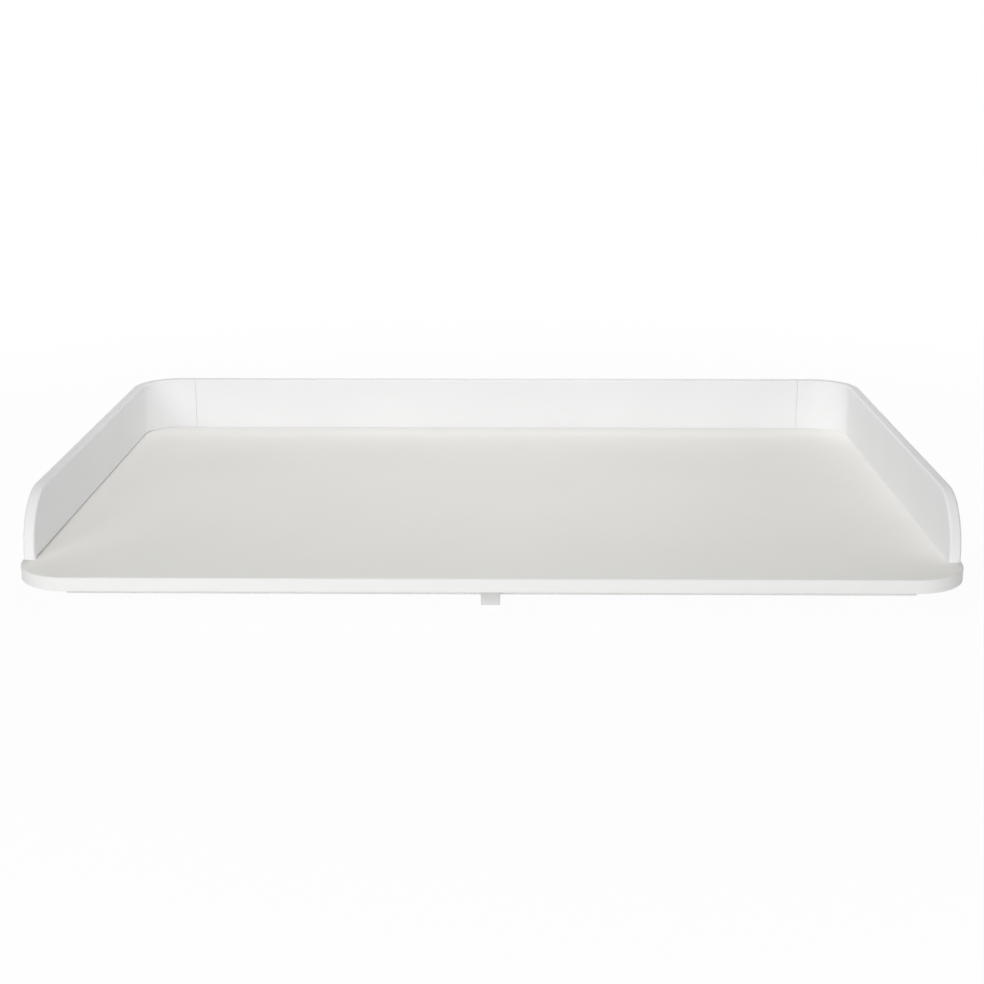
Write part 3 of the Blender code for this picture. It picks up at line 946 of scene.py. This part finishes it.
class TOP_OT_screws(bpy.types.Operator):
    """Set out the countersunk screws, with a thread on each"""

    bl_idname = "changing_top.screws"
    bl_label = "Screws"

    def execute(self, context):
        sizes = context.scene.changing_top_sizes
        tree = fastener_tree()
        finish = finish_named("bright_zinc_plate")
        batten_screws = [n for n in nodes_named(*BATTENS) if "_screw_" in n]
        for name, nodes in (
            ("rim_screws", nodes_named(RIM_SCREWS)),
            ("batten_screws", batten_screws),
            ("stop_screw", nodes_named(STOP_SCREWS)),
        ):
            boxes = [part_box(node) for node in nodes]
            long = boxes[0][1].z - boxes[0][0].z
            blank, plain = screw_blank(sizes, long)
            model = bpy.data.objects.new("screw_model", blank)
            # A driver stops each screw at another angle, so each is turned on from the last
            turn = 2.4
            spots = [
                (((low.x + high.x) / 2, (low.y + high.y) / 2, low.z), (0, 0, turn * number))
                for number, (low, high) in enumerate(boxes)
            ]
            screws = places(name, spots)
            depth = (sizes.thread - sizes.core) / 2
            values = {"Blank": model, "Waves round": 1.0, "Pitch": sizes.pitch, "Height": depth}
            values |= {"From": plain, "To": long, "Fade": sizes.point}
            values |= {"Sharpness": 4.0, "Finish": finish}
            add_tree(screws, tree, values)
            finish_piece(screws, name, nodes)
            discard(model)
        return {"FINISHED"}


class TOP_OT_dowels(bpy.types.Operator):
    """Set out the fluted dowels in the rim and across its seams"""

    bl_idname = "changing_top.dowels"
    bl_label = "Dowels"

    def execute(self, context):
        sizes = context.scene.changing_top_sizes
        tree = bpy.data.node_groups.get("rippled_fasteners") or fastener_tree()
        nodes = nodes_named("rim_dowel", "seam_dowel")
        low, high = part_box(nodes[0])
        long = high.z - low.z
        model = bpy.data.objects.new("dowel_model", dowel_blank(sizes, long, high.y - low.y))
        spots = []
        for node in nodes:
            stands, _, _, middle = upright(node)
            spots.append((middle, (0, 0 if stands else QUARTER_TURN, 0)))
        dowels = places("dowels", spots)
        # Over so long a pitch the flutes run straight
        no_climb = 1000.0
        values = {"Blank": model, "Waves round": float(sizes.flutes), "Pitch": no_climb}
        values |= {"Height": -sizes.flute, "From": -long / 2, "To": long / 2}
        values |= {"Fade": 2 * sizes.chamfer, "Sharpness": 1.0}
        values |= {"Finish": finish_named("bare_beech")}
        add_tree(dowels, tree, values)
        finish_piece(dowels, "dowels", nodes)
        discard(model)
        return {"FINISHED"}


# The stage

# A round floor of paper just under the lowest piece. It is lifted this far to white under the
# top, and all the way from the near radius to the far one.
FLOOR_RADIUS = 14.0
FLOOR_SIDES = 96
FLOOR_GAP = 0.1 * MM
PAPER_LIFT = 0.96
LIFT_NEAR = 0.75
LIFT_FAR = 2.0

SKY_LIGHT = 0.15

# The soft boxes: name, place, width in metres and power in watts. All face the same point.
LAMP_TARGET = (0, 0, 0.05)
LAMPS = (
    ("front_box", (0.0, -5.0, 0.75), 1.5, 75.0),
    ("key_box", (-1.4, -2.8, 1.3), 1.2, 19.5),
    ("high_left_box", (-2.5, -4.0, 2.0), 2.0, 22.5),
    ("high_right_box", (2.5, -4.0, 2.0), 2.0, 11.5),
    ("left_box", (-4.6, -0.8, 0.9), 1.5, 5.6),
    ("right_box", (4.6, -0.8, 0.9), 1.5, 8.0),
    ("overhead_box", (0.0, 0.45, 1.6), 1.2, 8.4),
    ("low_overhead_box", (0.0, 0.3, 1.1), 1.0, 2.6),
    ("rear_box", (0.0, 4.8, 0.75), 1.5, 40.0),
)

# The camera, fitted to the edges in the photograph: the lens and film in millimetres, the place
# in metres, and how far it looks down, leans over and looks to the left in radians
FILM_WIDTH = 36.0
LENS = 59.935
CAMERA_PLACE = (0.02391, -2.31553, 0.70046)
LOOK_DOWN = 0.28065
LEAN = 0.00058
LOOK_LEFT = 0.01111


def seen_rays(tree):
    """Light Path's outputs, and one for rays of the camera, a reflection or a clear body."""
    path = add_node(tree, "ShaderNodeLightPath").outputs
    seen = add_node(
        tree, "ShaderNodeMath", (path["Is Camera Ray"], path["Is Glossy Ray"]), operation="MAXIMUM"
    ).outputs[0]
    seen = add_node(
        tree, "ShaderNodeMath", (seen, path["Is Transmission Ray"]), operation="MAXIMUM"
    ).outputs[0]
    return path, seen


def add_world(light):
    """An even sky of soft light, which the camera and reflections see as plain white."""
    world = bpy.data.worlds.new("studio")
    bpy.context.scene.world = world
    world.use_nodes = True
    tree = world.node_tree
    tree.nodes.clear()
    _, seen = seen_rays(tree)
    soft = add_node(tree, "ShaderNodeBackground", {"Color": (1, 1, 1, 1), "Strength": light})
    white = add_node(tree, "ShaderNodeBackground", {"Color": (1, 1, 1, 1), "Strength": 1.0})
    mixed = add_node(tree, "ShaderNodeMixShader", (seen, soft.outputs[0], white.outputs[0]))
    add_node(tree, "ShaderNodeOutputWorld", (mixed.outputs[0],))


def paper(name, tint, near, far, lift):
    """White studio paper, which the camera sees lifted to white, with the top's shadow kept.

    From below it is clear to the camera, so that the underside can be looked at.
    """
    made = bpy.data.materials.new(name)
    made.use_nodes = True
    tree = made.node_tree
    tree.nodes.clear()
    matt = add_node(tree, "ShaderNodeBsdfDiffuse", {"Color": (*tint, 1.0)})
    white = add_node(tree, "ShaderNodeEmission", {"Color": (1, 1, 1, 1), "Strength": 1.0})
    path, seen = seen_rays(tree)
    place = add_node(tree, "ShaderNodeTexCoord").outputs["Object"]
    away = add_node(tree, "ShaderNodeVectorMath", (place,), operation="LENGTH").outputs["Value"]
    share = add_node(
        tree, "ShaderNodeMapRange", (away, near, far, lift, 1.0), interpolation_type="SMOOTHSTEP"
    ).outputs[0]
    share = add_node(tree, "ShaderNodeMath", (share, seen), operation="MULTIPLY").outputs[0]
    lifted = add_node(tree, "ShaderNodeMixShader", (share, matt.outputs[0], white.outputs[0]))
    clear = add_node(tree, "ShaderNodeBsdfTransparent")
    under = add_node(tree, "ShaderNodeNewGeometry").outputs["Backfacing"]
    under = add_node(
        tree, "ShaderNodeMath", (under, path["Is Camera Ray"]), operation="MULTIPLY"
    ).outputs[0]
    whole = add_node(tree, "ShaderNodeMixShader", (under, lifted.outputs[0], clear.outputs[0]))
    add_node(tree, "ShaderNodeOutputMaterial", (whole.outputs[0],))
    return made


def add_lamp(name, place, target, width, power):
    """A square soft box at the place, turned to the target.

    It is out of sight in the picture and in the lacquer, so no lamp glares off the flat board.
    """
    lamp = bpy.data.lights.new(name, "AREA")
    lamp.shape = "SQUARE"
    lamp.size = width
    lamp.energy = power
    obj = bpy.data.objects.new(name, lamp)
    obj.location = place
    obj.rotation_euler = (Vector(target) - Vector(place)).to_track_quat("-Z", "Y").to_euler()
    obj.visible_camera = False
    obj.visible_glossy = False
    bpy.context.scene.collection.objects.link(obj)


class TOP_OT_stage(bpy.types.Operator):
    """Build the floor, the light and the camera"""

    bl_idname = "changing_top.stage"
    bl_label = "Stage"

    def execute(self, context):
        scene = context.scene
        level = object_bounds()[0].z - FLOOR_GAP
        bm = bmesh.new()
        bmesh.ops.create_circle(bm, cap_ends=True, segments=FLOOR_SIDES, radius=FLOOR_RADIUS)
        bmesh.ops.translate(bm, vec=(0, 0, level), verts=bm.verts)
        floor = as_object(bm, "floor")
        tint = scene.changing_top_colours.floor
        white = paper("studio_paper", tint, LIFT_NEAR, LIFT_FAR, PAPER_LIFT)
        floor.data.materials.append(white)
        floor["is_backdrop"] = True
        add_world(SKY_LIGHT)
        for name, place, width, power in LAMPS:
            add_lamp(name, place, LAMP_TARGET, width, power)
        camera = bpy.data.objects.new("camera", bpy.data.cameras.new("camera"))
        camera.data.sensor_width = FILM_WIDTH
        camera.data.lens = LENS
        camera.location = CAMERA_PLACE
        camera.rotation_euler = (QUARTER_TURN - LOOK_DOWN, LEAN, LOOK_LEFT)
        scene.collection.objects.link(camera)
        scene.camera = camera
        scene.view_settings.view_transform = "Standard"
        return {"FINISHED"}


class TOP_PT_panel(bpy.types.Panel):
    """Lists the pieces, with the sizes and colours that they are built from"""

    bl_idname = "TOP_PT_panel"
    bl_label = "Changing Top"
    bl_space_type = "VIEW_3D"
    bl_region_type = "UI"
    bl_category = "Changing Top"

    def draw(self, context):
        for operator in OPERATORS:
            self.layout.operator(operator.bl_idname)
        for group in (context.scene.changing_top_sizes, context.scene.changing_top_colours):
            column = self.layout.column()
            for key in group.__annotations__:
                column.prop(group, key)


OPERATORS = (
    TOP_OT_board,
    TOP_OT_side_panels,
    TOP_OT_back_panel,
    TOP_OT_battens,
    TOP_OT_stop_block,
    TOP_OT_screws,
    TOP_OT_dowels,
    TOP_OT_stage,
)
CLASSES = (TopSizes, TopColours, *OPERATORS, TOP_PT_panel)


def register():
    for cls in CLASSES:
        bpy.utils.register_class(cls)
    bpy.types.Scene.changing_top_sizes = PointerProperty(type=TopSizes)
    bpy.types.Scene.changing_top_colours = PointerProperty(type=TopColours)


def unregister():
    del bpy.types.Scene.changing_top_sizes
    del bpy.types.Scene.changing_top_colours
    for cls in reversed(CLASSES):
        bpy.utils.unregister_class(cls)


def main():
    """Builds every piece and the stage."""
    register()
    bpy.ops.changing_top.board()
    bpy.ops.changing_top.side_panels()
    bpy.ops.changing_top.back_panel()
    bpy.ops.changing_top.battens()
    bpy.ops.changing_top.stop_block()
    bpy.ops.changing_top.screws()
    bpy.ops.changing_top.dowels()
    bpy.ops.changing_top.stage()


if __name__ == "__main__":
    main()
